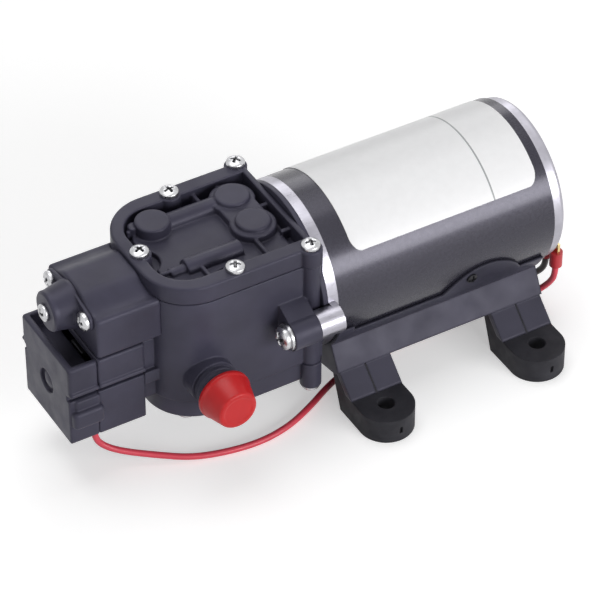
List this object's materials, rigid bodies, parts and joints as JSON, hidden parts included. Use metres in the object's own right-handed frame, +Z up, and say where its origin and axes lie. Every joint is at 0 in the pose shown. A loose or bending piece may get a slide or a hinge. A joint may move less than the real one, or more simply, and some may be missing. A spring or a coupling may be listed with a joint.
{
  "type": "caravan water pump",
  "caption": "Small diaphragm water pump: round motor on a four-footed saddle, pump head with side ports and caps, pressure switch, and loose supply leads.",
  "frame": {"origin": "on the ground, midway between the four foot holes", "axes": "+X along the motor's shaft towards the motor's tail, +Y towards the back (the inlet side), +Z up"},
  "size_m": [0.1584, 0.087, 0.0635],
  "materials": {
    "housing_plastic": "fine satin moulding",
    "lid_plastic": "fine satin moulding",
    "saddle_plastic": "satin moulding",
    "foot_rubber": "matt",
    "can_paint": "gloss black",
    "label_film": "bare printed-blank film",
    "bell_alloy": "bright turned casting",
    "tail_steel": "plated pressing",
    "bearing_steel": "ground and polished",
    "magnet_ferrite": "dull ferrite",
    "holder_board": "laminated board",
    "brush_carbon": "carbon",
    "spring_steel": "drawn wire",
    "terminal_brass": "plain",
    "sleeving": "soft sleeve",
    "tie_nylon": "nylon",
    "screw_zinc": "bright zinc plate",
    "screw_black": "blackened steel",
    "shaft_steel": "ground",
    "core_lamination": "laminated",
    "winding_copper": "enamelled copper wire",
    "commutator_copper": "copper bars",
    "crank_steel": "machined",
    "rod_plastic": "acetal",
    "diaphragm_rubber": "soft rubber",
    "valve_rubber": "soft rubber",
    "plate_plastic": "moulding",
    "cap_red": "soft waxy plastic",
    "switch_plastic": "fine satin moulding",
    "plunger_plastic": "acetal",
    "micro_plastic": "moulding",
    "button_plastic": "moulding",
    "red_insulation": "soft vinyl",
    "black_insulation": "soft vinyl",
    "tinned_wire": "tinned strands"
  },
  "bodies": {
    "pump": {"base_bracket": "saddle_plastic", "foot_pump_front": "foot_rubber", "foot_pump_back": "foot_rubber", "foot_tail_front": "foot_rubber", "foot_tail_back": "foot_rubber", "saddle_screws": "screw_black", "motor_can": "can_paint", "motor_label": "label_film", "front_bell": "bell_alloy", "front_bearing": "bearing_steel", "rear_bearing": "bearing_steel", "tail_cap": "tail_steel", "field_magnets": "magnet_ferrite", "brush_holder": "holder_board", "carbon_brushes": "brush_carbon", "brush_springs": "spring_steel", "motor_terminals": "terminal_brass", "terminal_sleeves": "sleeving", "coil_tie": "tie_nylon", "motor_screws": "screw_zinc", "motor_washers": "screw_zinc", "diaphragm": "diaphragm_rubber", "pump_body": "housing_plastic", "bottom_cover": "housing_plastic", "cover_screws": "screw_zinc", "valve_plate": "plate_plastic", "inlet_valve": "valve_rubber", "outlet_valve": "valve_rubber", "lid_gasket": "diaphragm_rubber", "pump_lid": "lid_plastic", "lid_screws": "screw_zinc", "switch_housing": "switch_plastic", "pressure_diaphragm": "diaphragm_rubber", "pressure_spring": "spring_steel", "spring_seat": "spring_steel", "switch_boss": "switch_plastic", "boss_screws": "screw_zinc", "switch_base": "switch_plastic", "switch_cover": "switch_plastic", "microswitch": "micro_plastic", "switch_blades": "terminal_brass", "red_lead": "red_insulation", "black_lead": "black_insulation", "black_lead_coil": "black_insulation", "black_lead_end": "tinned_wire"},
    "rotor": {"motor_shaft": "shaft_steel", "armature_core": "core_lamination", "armature_windings": "winding_copper", "commutator": "commutator_copper", "eccentric": "crank_steel", "grub_screw": "crank_steel"},
    "rod": {"crank_bearing": "bearing_steel", "connecting_rod": "rod_plastic", "piston_plate": "plate_plastic", "piston_screw": "screw_zinc"},
    "outlet_cap_body": {"outlet_cap": "cap_red"},
    "inlet_cap_body": {"inlet_cap": "cap_red"},
    "plunger": {"switch_plunger": "plunger_plastic"},
    "snap_button": {"microswitch_button": "button_plastic"},
    "cut_out_screw": {"adjust_screw": "screw_zinc"}
  },
  "joints": [
    {"name": "rotor_spin", "type": "hinge", "parent": "pump", "child": "rotor", "pos_m": [0, 0, 0.0383], "axis": [1, 0, 0], "continuous": true},
    {"name": "rod_orbit", "type": "hinge", "parent": "rotor", "child": "rod", "pos_m": [-0.0545, 0, 0.0398], "axis": [1, 0, 0], "continuous": true, "deforming": ["diaphragm"]},
    {"name": "plunger_slide", "type": "slide", "parent": "pump", "child": "plunger", "axis": [-1, 0, 0], "range_m": [0, 0.001], "stiffness_N_per_m": 900, "springref_m": -0.002, "deforming": ["pressure_spring"]},
    {"name": "snap_button_slide", "type": "slide", "parent": "pump", "child": "snap_button", "axis": [-1, 0, 0], "range_m": [0, 0.001], "stiffness_N_per_m": 100, "springref_m": -0.0005},
    {"name": "cut_out_turn", "type": "hinge", "parent": "pump", "child": "cut_out_screw", "pos_m": [-0.1125, 0, 0.053], "axis": [1, 0, 0], "range_deg": [-720, 720]},
    {"name": "outlet_cap_pull", "type": "slide", "parent": "pump", "child": "outlet_cap_body", "axis": [0, -1, 0], "range_m": [0, 0.012]},
    {"name": "inlet_cap_pull", "type": "slide", "parent": "pump", "child": "inlet_cap_body", "axis": [0, 1, 0], "range_m": [0, 0.012]}
  ],
  "couplings": [
    {"joint": "rod_orbit", "follows": "rotor_spin", "ratio": -1},
    {"joint": "snap_button_slide", "follows": "plunger_slide", "ratio": 1}
  ]
}
